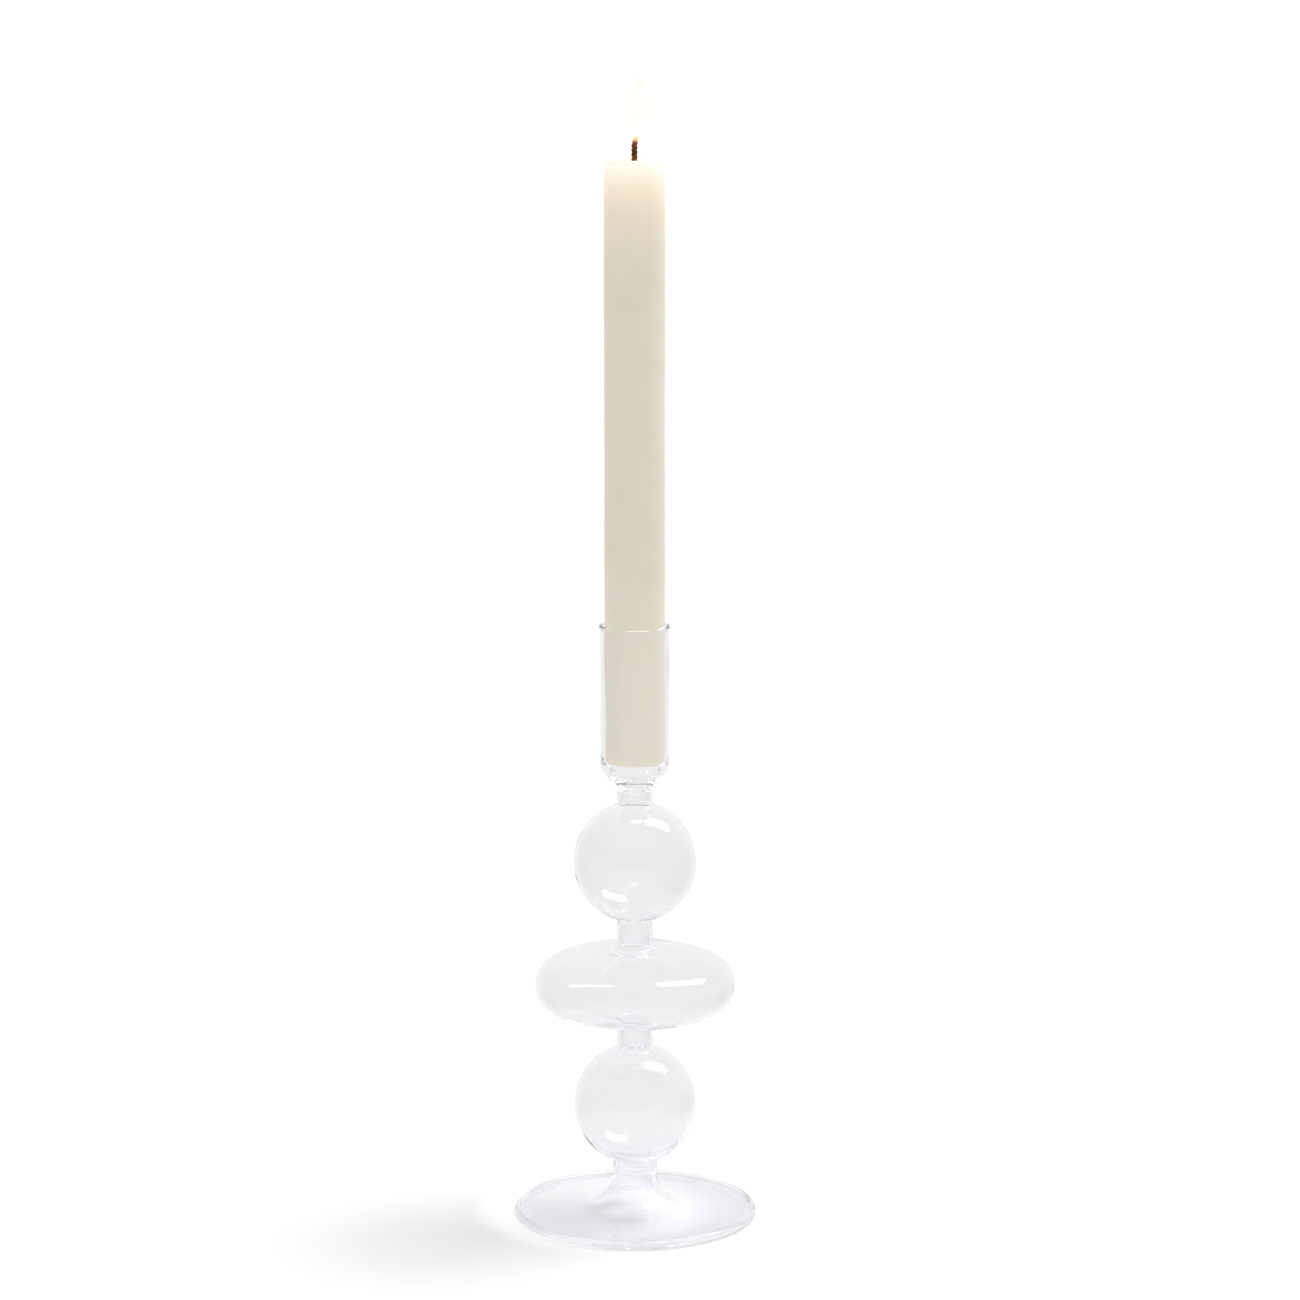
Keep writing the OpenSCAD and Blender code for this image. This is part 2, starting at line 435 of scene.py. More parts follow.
@dataclass(frozen=True)
class StudioPaper(Finish):
    """Seamless white background paper, rolled and matte, with a faint tooth."""

    name: str = "seamless_paper"
    white: str = "F4F4F5"
    tooth_mm: float = 0.6
    tooth_depth_mm: float = 0.02
    plain_m: float = 0.08
    lit_m: float = 0.20
    backlight: float = 0.9
    card: float = 0.68
    lift: float = 0.16
    # a painted pool of light under the foot: its radius and brightness
    painted_pool_m: float = 0.05
    pool: float = 0.26

    def surface(self, nodes: Shading) -> Node:
        """Builds the finish's nodes.

        Args:
            nodes: the material's node tree.

        Returns:
            The last shader.
        """
        place = nodes.add("TexCoord").outputs["Object"]
        path = nodes.add("LightPath").outputs
        tooth = nodes.add(
            "TexNoise", {"Vector": place, "Scale": per_mm(self.tooth_mm), "Detail": 2.0}
        )
        bump = nodes.add(
            "Bump", {"Height": tooth, "Strength": 0.05, "Distance": self.tooth_depth_mm * MM}
        )
        shader = nodes.add("BsdfPrincipled", {
            "Base Color": linear(self.white), "Roughness": 0.95, "Specular IOR Level": 0.1,
            "Normal": bump,
        })
        # lamps behind the paper even it out away from the object
        away = nodes.add("VectorMath", {0: place}, operation="LENGTH")
        even = nodes.add(
            "MapRange", {"Value": away, "From Min": self.plain_m, "From Max": self.lit_m},
            interpolation_type="SMOOTHSTEP",
        )
        # black cards stand at both sides, out of view: they draw the outlines of the glass
        way = nodes.add("VectorMath", {0: place}, operation="NORMALIZE")
        ahead = nodes.add("SeparateXYZ", {"Vector": way}).outputs["Y"]
        facing = nodes.add("Math", {0: ahead}, operation="ABSOLUTE")
        card = nodes.add(
            "MapRange",
            {"Value": facing, "From Min": 0.8, "From Max": 0.4, "To Min": 1.0, "To Max": self.card},
            interpolation_type="SMOOTHSTEP",
        )
        plain = nodes.add(
            "Math", {0: path["Is Camera Ray"], 1: path["Is Diffuse Ray"]}, operation="MAXIMUM"
        )
        clear = nodes.add("Math", {0: card, 1: plain}, operation="MAXIMUM")
        strength = nodes.add("Math", {0: clear, 1: self.backlight}, operation="MULTIPLY")
        lamps = nodes.add("Emission", {"Color": grey(1.0), "Strength": strength})
        paper = nodes.add("MixShader", {0: even, 1: shader, 2: lamps})
        # seen directly it is a little brighter, as paper that is exposed to pure white
        lift = nodes.add("Math", {0: path["Is Camera Ray"], 1: self.lift}, operation="MULTIPLY")
        # painted pool of light: emission on the paper under the glass foot, a little to the left,
        # stands in for the light that the foot gathers there
        painted_pool_place = nodes.add("VectorMath", {0: place, 1: (self.painted_pool_m * 0.3, 0, 0)}, operation="ADD")
        off = nodes.add("VectorMath", {0: painted_pool_place}, operation="LENGTH")
        pool = nodes.add("MapRange", {
            "Value": off, "From Min": self.painted_pool_m, "From Max": self.painted_pool_m * 0.6,
            "To Max": self.pool,
        }, interpolation_type="SMOOTHSTEP")
        # the paper's lift and the painted pool of light, added as emission
        more = nodes.add("Math", {0: lift, 1: pool}, operation="ADD")
        white = nodes.add("Emission", {"Color": grey(1.0), "Strength": more})
        return nodes.add("AddShader", {0: paper, 1: white})


# ---------------------------------------------------------------- outlines


def arc(
    centre: Sequence[float], radius: float, start: float, end: float, step: float = OUTLINE_STEP
) -> Array:
    """Gives points along an arc.

    Args:
        centre: the arc's centre, as radius from the axis and height.
        radius: the arc's radius.
        start: angle of the first point, in degrees.
        end: angle of the last point, in degrees.
        step: longest distance between points.

    Returns:
        The points, one row each.
    """
    count = max(2, math.ceil(abs(math.radians(end - start)) * radius / step) + 1)
    turn = np.radians(np.linspace(start, end, count))
    return np.column_stack([centre[0] + radius * np.cos(turn), centre[1] + radius * np.sin(turn)])


def lengths(points: Array) -> Array:
    """Gives the distance along a line at each of its points."""
    return np.concatenate([[0.0], np.cumsum(np.linalg.norm(np.diff(points, axis=0), axis=1))])


def at_lengths(points: Array, where: Array) -> Array:
    """Gives the points of a line at the given distances along it."""
    along = lengths(points)
    return np.column_stack([np.interp(where, along, points[:, k]) for k in range(points.shape[1])])


def softened(values: Array, step: float, reach: float) -> Array:
    """Smooths evenly spaced values, as a flame rounds off corners, and keeps both ends in place.

    Args:
        values: the values, one row each.
        step: distance between them.
        reach: standard deviation of the smoothing.

    Returns:
        The smoothed values.
    """
    half = math.ceil(3 * reach / step)
    weights = np.exp(-0.5 * (np.arange(-half, half + 1) * step / reach) ** 2)
    weights /= weights.sum()
    # mirrored through each end point, so that the ends stay where they are
    head = 2 * values[0] - values[half:0:-1]
    tail = 2 * values[-1] - values[-2 : -half - 2 : -1]
    padded = np.concatenate([head, values, tail])
    return np.column_stack(
        [np.convolve(padded[:, k], weights, mode="valid") for k in range(values.shape[1])]
    )


def outward(points: Array) -> Array:
    """Gives the directions away from the hollow along an outline.

    Args:
        points: the outline, which runs upwards.

    Returns:
        The unit normal at each point.
    """
    along = np.gradient(points, axis=0)
    along /= np.linalg.norm(along, axis=1)[:, None]
    return np.column_stack([along[:, 1], -along[:, 0]])


def bead(
    centre: Sequence[float],
    radius: float,
    out: Sequence[float],
    side: Sequence[float],
    walls: tuple[float, float],
    fillet: float,
) -> Array:
    """Gives the outline of the fire-polished bead at a wall's free edge.

    Args:
        centre: the bead's centre.
        radius: the bead's radius.
        out: unit direction in which the wall runs out into the bead.
        side: unit direction of the wall's first face.
        walls: distance of the first and second face from the bead's centre.
        fillet: radius of the hollow between face and bead.

    Returns:
        The points from the first face round the bead to the second face.
    """
    halves = []
    for wall in walls:
        back = -math.sqrt((radius + fillet) ** 2 - (wall + fillet) ** 2)
        meet = math.degrees(math.atan2(-(wall + fillet), -back))
        halves.append(np.concatenate([
            arc((back, wall + fillet), fillet, -90, meet, BEAD_STEP)[:-1],
            arc((0, 0), radius, meet + 180, 0, BEAD_STEP),
        ]))
    first, second = halves
    local = np.concatenate([first, (second * [1, -1])[-2::-1]])
    return np.array(centre) + local[:, :1] * np.array(out) + local[:, 1:] * np.array(side)


@dataclass(frozen=True)
class Stretch:
    """One length of the stem's outer outline, from its lower end up."""

    node: str
    points: Array
    wall: float


@dataclass(frozen=True)
class Foot:
    """Trumpet foot with a fire-polished bead, which the candlestick rests on."""

    diameter: float = 90
    height: float = 16.3
    wall: float = 1.6
    bead_r: float = 1.75
    bead_fillet: float = 2.0
    flat: float = 0.15
    neck_d: float = 16.4
    flare_r: float = 10.5
    flare_drop: float = 1.2

    @property
    def bead_centre(self) -> Array:
        """Centre of the bead."""
        return np.array([self.diameter / 2 - self.bead_r, self.bead_r - self.flat])

    @property
    def flare_centre(self) -> Array:
        """Centre of the flare's arc."""
        return np.array([self.neck_d / 2 + self.flare_r, self.height - self.flare_drop])

    @property
    def slope(self) -> float:
        """Fall of the web, whose middle line runs to the bead's centre.

        Returns:
            The angle, in radians.
        """
        middle_r = self.flare_r + self.wall / 2
        gap = self.bead_centre - self.flare_centre
        return math.asin(middle_r / math.hypot(gap[0], gap[1])) - math.atan2(-gap[1], gap[0])

    def edge(self) -> Array:
        """Gives the outline of the bead, flat where it rests on the table.

        Returns:
            The points from the web's upper face to its lower face.
        """
        out = (math.cos(self.slope), math.sin(self.slope))
        walls = (self.wall / 2, self.wall / 2)
        side = (-out[1], out[0])
        points = bead(self.bead_centre, self.bead_r, out, side, walls, self.bead_fillet)
        points[:, 1] = np.maximum(points[:, 1], 0)
        return points

    def stretch(self) -> Stretch:
        """Gives the upper face of the foot.

        Returns:
            The stretch from the bead to the neck.
        """
        start = self.edge()[0]
        leave = math.degrees(self.slope) + 270
        flare = arc(self.flare_centre, self.flare_r, leave, 180)
        top = [[self.neck_d / 2, self.height]]
        return Stretch("foot", np.concatenate([[start], flare, top]), self.wall)


@dataclass(frozen=True)
class Ball:
    """Blown ball between two necks."""

    node: str
    low_join_r: float
    high_join_r: float
    diameter: float = 45
    wall: float = 1.3

    def half(self, join_r: float) -> float:
        """Height from the middle to an end where the ball's section has radius join_r."""
        return math.sqrt((self.diameter / 2) ** 2 - join_r**2)

    def stretch(self, low_z: float) -> Stretch:
        """Gives the outline of the ball.

        Args:
            low_z: height of its lower end.

        Returns:
            The stretch from its lower to its upper neck.
        """
        radius = self.diameter / 2
        middle = low_z + self.half(self.low_join_r)
        start = math.degrees(math.acos(self.low_join_r / radius))
        end = math.degrees(math.acos(self.high_join_r / radius))
        return Stretch(self.node, arc((0, middle), radius, -start, end), self.wall)


@dataclass(frozen=True)
class Neck:
    """Short length of tube with a fillet at each end.

    Each end is given as the fillet's radius and the slope of the form that it runs out on, in
    degrees.
    """

    node: str
    length: float
    diameter: float
    wall: float
    low: tuple[float, float] = (0, 0)
    high: tuple[float, float] = (0, 0)

    def stretch(self, low_z: float) -> Stretch:
        """Gives the outline of the neck.

        Args:
            low_z: height of its lower end.

        Returns:
            The stretch from its lower to its upper end.
        """
        r, top = self.diameter / 2, low_z + self.length
        start = np.array([[r, low_z]])
        fillet, slope = self.low
        if fillet:
            middle = (r + fillet, low_z + fillet * math.cos(math.radians(slope)))
            start = arc(middle, fillet, 270 - slope, 180)
        fillet, slope = self.high
        middle = (r + fillet, top - fillet * math.cos(math.radians(slope)))
        end = arc(middle, fillet, 180, 90 + slope)
        return Stretch(self.node, np.concatenate([start, end]), self.wall)


@dataclass(frozen=True)
class Disc:
    """Flattened bubble with a shallow dish round the neck on its upper face."""

    diameter: float = 73.6
    height: float = 29.8
    edge_r: float = 10
    dip: float = 2.2
    dip_r: float = 18
    wall: float = 1.3

    @property
    def edge_centre(self) -> float:
        """Radius at which the rounded edge has its centre."""
        return self.diameter / 2 - self.edge_r

    @property
    def crown_r(self) -> float:
        """Radius of the large arc of each face."""
        half = self.height / 2
        return (self.edge_centre**2 + half**2 - self.edge_r**2) / (2 * (half - self.edge_r))

    def crown(self, r: Array | float) -> Array | float:
        """Height of a face above the disc's middle at radius r, without the dish."""
        return np.sqrt(self.crown_r**2 - np.square(r)) - self.crown_r + self.height / 2

    def upper(self, r: Array | float) -> Array | float:
        """Height of the upper face, which sinks round the neck, at radius r."""
        dish = self.dip * (1 + np.cos(np.pi * np.minimum(r, self.dip_r) / self.dip_r)) / 2
        return self.crown(r) - dish

    def stretch(self, low_z: float, low_r: float, high_r: float) -> Stretch:
        """Outline of the disc.

        Args:
            low_z: height of the lower end.
            low_r: radius at which the lower neck joins.
            high_r: radius at which the upper neck joins.

        Returns:
            The stretch from the lower neck round the edge to the upper neck.
        """
        middle = low_z + self.crown(low_r)
        turn = math.degrees(math.asin(self.edge_centre / (self.crown_r - self.edge_r)))
        tangent_r = self.edge_centre + self.edge_r * math.sin(math.radians(turn))
        under = np.arange(low_r, tangent_r, OUTLINE_STEP)
        over = np.arange(tangent_r, high_r, -OUTLINE_STEP)[1:]
        points = np.concatenate([
            np.column_stack([under, middle - self.crown(under)]),
            arc((self.edge_centre, middle), self.edge_r, turn - 90, 90 - turn),
            np.column_stack([over, middle + self.upper(over)]),
            [[high_r, middle + self.upper(high_r)]],
        ])
        return Stretch("disc", points, self.wall)


@dataclass(frozen=True)
class Cup:
    """Tube cup for the candle: a cone, a rounded shoulder, a straight tube and a beaded rim."""

    inner_r: float = 11.3
    wall: float = 1.2
    height: float = 60.6
    cone_h: float = 8.6
    shoulder_r: float = 2.5
    bead_r: float = 0.85
    bead_fillet: float = 0.8
    floor: float = 2.0
    dome: float = 0.9
    neck_r: float = 6.5
    fillet: float = 0.8

    @property
    def outer_r(self) -> float:
        """Outer radius of the tube."""
        return self.inner_r + self.wall

    @property
    def slope(self) -> float:
        """Angle of the cone above the horizontal, in degrees."""
        return math.degrees(math.atan2(self.cone_h, self.outer_r - self.neck_r))

    @property
    def join_r(self) -> float:
        """Radius at which the neck's fillet runs out on the cone."""
        return self.neck_r + self.fillet * (1 - math.sin(math.radians(self.slope)))

    def edge(self, low_z: float) -> Array:
        """Gives the outline of the rim's bead.

        Args:
            low_z: height of the cup's lower end.

        Returns:
            The points from the outer face to the inner face.
        """
        centre_r = self.outer_r - self.wall / 3
        centre = (centre_r, low_z + self.height)
        walls = (self.outer_r - centre_r, centre_r - self.inner_r)
        return bead(centre, self.bead_r, (0, 1), (1, 0), walls, self.bead_fillet)

    def stretch(self, low_z: float) -> Stretch:
        """Gives the outer outline of the cup.

        Args:
            low_z: height of its lower end.

        Returns:
            The stretch from the neck to the rim's bead.
        """
        turn = math.radians(self.slope)
        rise = (self.outer_r - self.join_r) * math.tan(turn)
        shoulder = (
            self.outer_r - self.shoulder_r,
            low_z + rise + self.shoulder_r * math.tan((math.pi / 2 - turn) / 2),
        )
        points = np.concatenate([
            [[self.join_r, low_z]], arc(shoulder, self.shoulder_r, self.slope - 90, 0),
            [self.edge(low_z)[0]],
        ])
        return Stretch("candle_cup", points, self.wall)

    def inside(self, low_z: float) -> Array:
        """Inner outline from the rim's bead down to the middle of the round bottom."""
        bottom = arc((0, low_z + self.floor + self.inner_r), self.inner_r, 0, -90)
        return np.concatenate([[self.edge(low_z)[-1]], bottom])


# ---------------------------------------------------------------- hand work and meshes


@dataclass(frozen=True)
class Weld:
    """Ring where two lengths of tube were melted together, seldom quite level.

    The glass gathers there: it swells a little outside and chokes the bore inside.
    """

    z: float
    swell: float
    choke: float
    width: float
    tilt: float
    towards: float
    reach: float = 11.0

    def push(self, points: Array, amount: float) -> Array:
        """Gives the radial push of this weld on each point.

        Args:
            points: places in millimetres, along the last axis.
            amount: the push at the middle of the ring.

        Returns:
            The distance that each point moves out from the axis.
        """
        turn = np.arctan2(points[..., 1], points[..., 0])
        ring = self.z + self.tilt * np.cos(turn - math.radians(self.towards))
        near_axis = np.hypot(points[..., 0], points[..., 1]) < self.reach
        return amount * near_axis * np.exp(-(((points[..., 2] - ring) / self.width) ** 2))


@dataclass(frozen=True)
class HandWork:
    """The glassblower's unevenness, as one smooth field in space for each face of the glass.

    Neighbouring lengths are moved by the same field, so they still meet exactly.
    """

    welds: tuple[Weld, ...]
    seed: int = 11
    outer_mm: float = 0.05
    inner_mm: float = 0.09
    longest_mm: float = 60.0
    shortest_mm: float = 14.0
    waves: int = 14
    settle_mm: float = 4.0

    def drift(self, points: Array, seed: int, amount: float) -> Array:
        """Gives a slow random wander of each point.

        Args:
            points: places in millimetres, along the last axis.
            seed: seed of the random draws.
            amount: size of the wander in millimetres.

        Returns:
            The wander, with the same shape as points.
        """
        rng = np.random.default_rng(seed)
        moved = np.zeros_like(points)
        for _ in range(self.waves):
            length = math.exp(rng.uniform(math.log(self.shortest_mm), math.log(self.longest_mm)))
            way = rng.normal(size=3)
            wave = way / np.linalg.norm(way) * 2 * math.pi / length
            swing = rng.normal(size=3) * amount / math.sqrt(self.waves)
            swing = swing * length / self.longest_mm * 2
            moved += np.sin(points @ wave + rng.uniform(0, 2 * math.pi))[..., None] * swing
        return moved

    def apply(self, points: Array, inner: Array) -> Array:
        """Moves the points of a turned piece as the maker's hands left them.

        Args:
            points: rings of points in millimetres.
            inner: for each ring, True if it lies on an inner face.

        Returns:
            The moved points.
        """
        radial = points * [1, 1, 0]
        radial /= np.maximum(np.linalg.norm(radial, axis=-1, keepdims=True), TINY)
        side = inner[:, None, None]
        moved = np.where(
            side, self.drift(points, self.seed + 1, self.inner_mm),
            self.drift(points, self.seed, self.outer_mm),
        )
        for weld in self.welds:
            into, out = weld.push(points, -weld.choke), weld.push(points, weld.swell)
            moved += radial * np.where(side[..., 0], into, out)[..., None]
        # what rests on the table stays level
        settle = np.clip(points[..., 2:] / self.settle_mm, 0, 1)
        return points + moved * np.concatenate([np.ones_like(settle)] * 2 + [settle], axis=-1)


def placed(name: str, data: bpy.types.ID) -> bpy.types.Object:
    """Makes an object and puts it into the scene.

    Args:
        name: its name.
        data: its mesh, light or camera.

    Returns:
        The new object.
    """
    new = bpy.data.objects.new(name, data)
    bpy.context.scene.collection.objects.link(new)
    return new


@dataclass
class Ring:
    """A run of rings of a turned piece, in the order that they are joined."""

    points: Array
    inner: bool
    fused_after: bool = False


def turned(
    name: str,
    runs: Sequence[Ring],
    closed: bool,
    around: int,
    shape: Callable[[Array, Array], Array],
) -> bpy.types.Object:
    """Makes a piece that is round about the stem's axis.

    Args:
        name: the new object's name.
        runs: runs of the section's outline, counter-clockwise, as radius and height in millimetres.
        closed: True if the last ring joins the first, as on a hollow length.
        around: number of points round each ring.
        shape: moves the rings' points, given them and which rings are inner.

    Returns:
        The new object, with the faces between fused runs in its second material slot.
    """
    outline = np.concatenate([run.points for run in runs])
    inner = np.concatenate([np.full(len(run.points), run.inner) for run in runs])
    ends = np.cumsum([len(run.points) for run in runs]) - 1
    fused = {int(end) for end, run in zip(ends, runs) if run.fused_after}
    turn = np.linspace(0, 2 * math.pi, around, endpoint=False)
    places = np.empty((len(outline), around, 3))
    places[..., 0] = outline[:, :1] * np.cos(turn)
    places[..., 1] = outline[:, :1] * np.sin(turn)
    places[..., 2] = outline[:, 1:]
    poles = outline[:, 0] < TINY
    places = shape(places, inner)
    vertices, first = [], []
    for ring, pole in zip(places, poles):
        first.append(len(vertices))
        vertices.extend([ring.mean(axis=0)] if pole else ring)
    faces, finishes = [], []
    count = len(outline)
    for i in range(count if closed else count - 1):
        k = (i + 1) % count
        for j in range(around):
            m = (j + 1) % around
            low = [first[i]] if poles[i] else [first[i] + j, first[i] + m]
            high = [first[k]] if poles[k] else [first[k] + m, first[k] + j]
            if len(low) + len(high) > 2:
                faces.append(low + high)
                finishes.append(1 if i in fused else 0)
    mesh = bpy.data.meshes.new(name)
    mesh.from_pydata([tuple(v * MM) for v in np.array(vertices)], [], faces)
    mesh.polygons.foreach_set("material_index", finishes)
    mesh.polygons.foreach_set("use_smooth", [True] * len(faces))
    mark_sharp(mesh, first, fused, count, around)
    mesh.update()
    return placed(name, mesh)


def mark_sharp(
    mesh: bpy.types.Mesh, first: Sequence[int], fused: set[int], count: int, around: int
) -> None:
    """Marks the rims of the fused faces sharp, so that the walls beside them are shaded smoothly.

    Args:
        mesh: the turned piece's mesh.
        first: index of each ring's first vertex.
        fused: rings after which a fused face follows.
        count: number of rings.
        around: number of points round each ring.
    """
    ends = np.empty(len(mesh.edges) * 2, np.int32)
    mesh.edges.foreach_get("vertices", ends)
    ends = ends.reshape(-1, 2)
    sharp = np.zeros(len(ends), bool)
    for ring in fused:
        for start in (first[ring], first[(ring + 1) % count]):
            sharp |= ((ends >= start) & (ends < start + around)).all(axis=1)
    mesh.edges.foreach_set("use_edge_sharp", sharp)


def dress(
    piece: bpy.types.Object,
    materials: Sequence[bpy.types.Material],
    body: Body,
    nodes: Sequence[str],
) -> None:
    """Gives a piece its materials and its body, and hides the CAD nodes that it stands for.

    Args:
        piece: the piece.
        materials: its materials, in slot order.
        body: the body that it rides on.
        nodes: the CAD nodes that it replaces.
    """
    for material in materials:
        piece.data.materials.append(material)
    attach(piece, body.value)
    if nodes:
        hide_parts(*nodes)
    LOG.info("%s: %d faces, rides on %s", piece.name, len(piece.data.polygons), body.value)


# ---------------------------------------------------------------- sub-assemblies


@dataclass
class GlassStem:
    """The whole glass candlestick, nine lengths fused end to end."""

    foot: Foot = field(default_factory=Foot)
    disc: Disc = field(default_factory=Disc)
    cup: Cup = field(default_factory=Cup)
    neck_d: float = 13
    neck_wall: float = 1.5
    foot_neck_l: float = 5.3
    disc_lower_neck_l: float = 10
    disc_upper_neck_l: float = 11.7
    upper_neck_l: float = 5.7
    ball_d: float = 45
    ball_fillet: float = 1.5
    foot_fillet: float = 1
    disc_lower_fillet: float = 2.5
    disc_upper_fillet: float = 3
    polish_mm: float = 0.45
    wall_blend_mm: float = 2.5
    fine_mm: float = 0.05
    step_mm: float = 0.6
    least_rings: int = 6
    dome_rings: int = 10
    around: int = 160

    def join_r(self, r: float, fillet: float, form_r: float) -> float:
        """Radius at which a neck's fillet runs out on a round form of radius form_r."""
        return (r + fillet) / (1 + fillet / form_r)

    def stretches(self) -> list[Stretch]:
        """Builds the lengths of the outer outline from the foot up.

        Returns:
            One stretch for each glass node, each starting where the last one ends.
        """
        neck_r, ball_r, disc = self.neck_d / 2, self.ball_d / 2, self.disc
        foot_join = self.join_r(self.foot.neck_d / 2, self.foot_fillet, ball_r)
        ball_join = self.join_r(neck_r, self.ball_fillet, ball_r)
        disc_low = self.join_r(neck_r, self.disc_lower_fillet, disc.crown_r)
        disc_high = neck_r + self.disc_upper_fillet
        on_foot_side = (self.foot_fillet, math.degrees(math.asin(foot_join / ball_r)))
        on_ball = (self.ball_fillet, math.degrees(math.asin(ball_join / ball_r)))
        under_disc = (self.disc_lower_fillet, math.degrees(math.asin(disc_low / disc.crown_r)))
        over_disc = (self.disc_upper_fillet, 0)
        under_cup = (self.cup.fillet, self.cup.slope)
        slim = (self.neck_d, self.neck_wall)
        wide = (self.foot.neck_d, self.foot.wall)
        forms: list[Callable[[float], Stretch]] = [
            Neck("foot_neck", self.foot_neck_l, *wide, high=on_foot_side).stretch,
            Ball("lower_ball", foot_join, ball_join, self.ball_d).stretch,
            Neck("disc_lower_neck", self.disc_lower_neck_l, *slim, on_ball, under_disc).stretch,
            lambda low_z: disc.stretch(low_z, disc_low, disc_high),
            Neck("disc_upper_neck", self.disc_upper_neck_l, *slim, over_disc, on_ball).stretch,
            Ball("upper_ball", ball_join, ball_join, self.ball_d).stretch,
            Neck("upper_neck", self.upper_neck_l, *slim, on_ball, under_cup).stretch,
            self.cup.stretch,
        ]
        parts = [self.foot.stretch()]
        for form in forms:
            parts.append(form(float(parts[-1].points[-1, 1])))
        return parts

    def walls(self, parts: Sequence[Stretch]) -> tuple[Array, Array, list[float]]:
        """Joins the stretches into one fire-polished skin.

        Args:
            parts: the stretches from the foot up.

        Returns:
            The outer and inner points, and the distance along the skin at each stretch's upper end.
        """
        points, ends = [parts[0].points[:1]], []
        for part in parts:
            points.append(part.points[1:])
            ends.append(float(lengths(np.concatenate(points))[-1]))
        count = round(ends[-1] / self.fine_mm)
        where, step = np.linspace(0, ends[-1], count + 1, retstep=True)
        outer = softened(at_lengths(np.concatenate(points), where), step, self.polish_mm)
        owner = np.searchsorted(np.array(ends), where, side="left").clip(0, len(parts) - 1)
        thick = np.array([parts[i].wall for i in owner])[:, None]
        inner = outer - outward(outer) * softened(thick, step, self.wall_blend_mm)
        return outer, inner, ends

    def build(
        self,
        glass: bpy.types.Material,
        tube: bpy.types.Material,
        fused: bpy.types.Material,
        hands: HandWork,
    ) -> None:
        """Makes and dresses the nine glass pieces.

        Args:
            glass: finish of the blown glass.
            tube: finish of the cup, a copy of the glass that casts no shade, so the wax in it stays
                lit.
            fused: finish of the faces where two lengths meet.
            hands: the maker's unevenness.
        """
        parts = self.stretches()
        outer, inner, ends = self.walls(parts)
        along = np.linspace(0, ends[-1], len(outer))
        for part, start, end in zip(parts, [0.0] + ends[:-1], ends):
            count = max(self.least_rings, round((end - start) / self.step_mm))
            where = np.linspace(start, end, count + 1)
            face, back = (
                np.column_stack([np.interp(where, along, line[:, k]) for k in (0, 1)])
                for line in (outer, inner)
            )
            closed, skin = True, glass
            runs = [Ring(face, False, fused_after=True), Ring(back[::-1], True, fused_after=True)]
            if part.node == "foot":
                bead_run = self.foot.edge()[::-1][:-1]
                runs = [Ring(bead_run, False), runs[0], Ring(back[:0:-1], True)]
            elif part.node == "candle_cup":
                closed, skin, runs = False, tube, self.cup_runs(face, back[0])
            piece = turned(f"glass_{part.node}", runs, closed, self.around, hands.apply)
            dress(piece, [skin, fused], Body.GLASS, [part.node])

    def cup_runs(self, face: Array, bore: Array) -> list[Ring]:
        """Gives the cup's section: domed end of the bore, outer face, rim and inside.

        Args:
            face: the outer face from the neck up.
            bore: where the neck's inner face meets the cup.

        Returns:
            The runs, counter-clockwise from the axis to the axis.
        """
        low_z = float(face[0, 1])
        share = np.linspace(0, 1, self.dome_rings)
        rise = bore[1] + self.cup.dome
        dome = np.column_stack([bore[0] * share, rise - self.cup.dome * share**2])
        inside = self.cup.inside(low_z)
        deep = lengths(inside)[-1]
        inside = at_lengths(inside, np.linspace(0, deep, round(deep / self.step_mm)))
        return [
            Ring(dome, True, fused_after=True), Ring(face, False),
            Ring(self.cup.edge(low_z)[1:-1], False), Ring(inside, True),
        ]


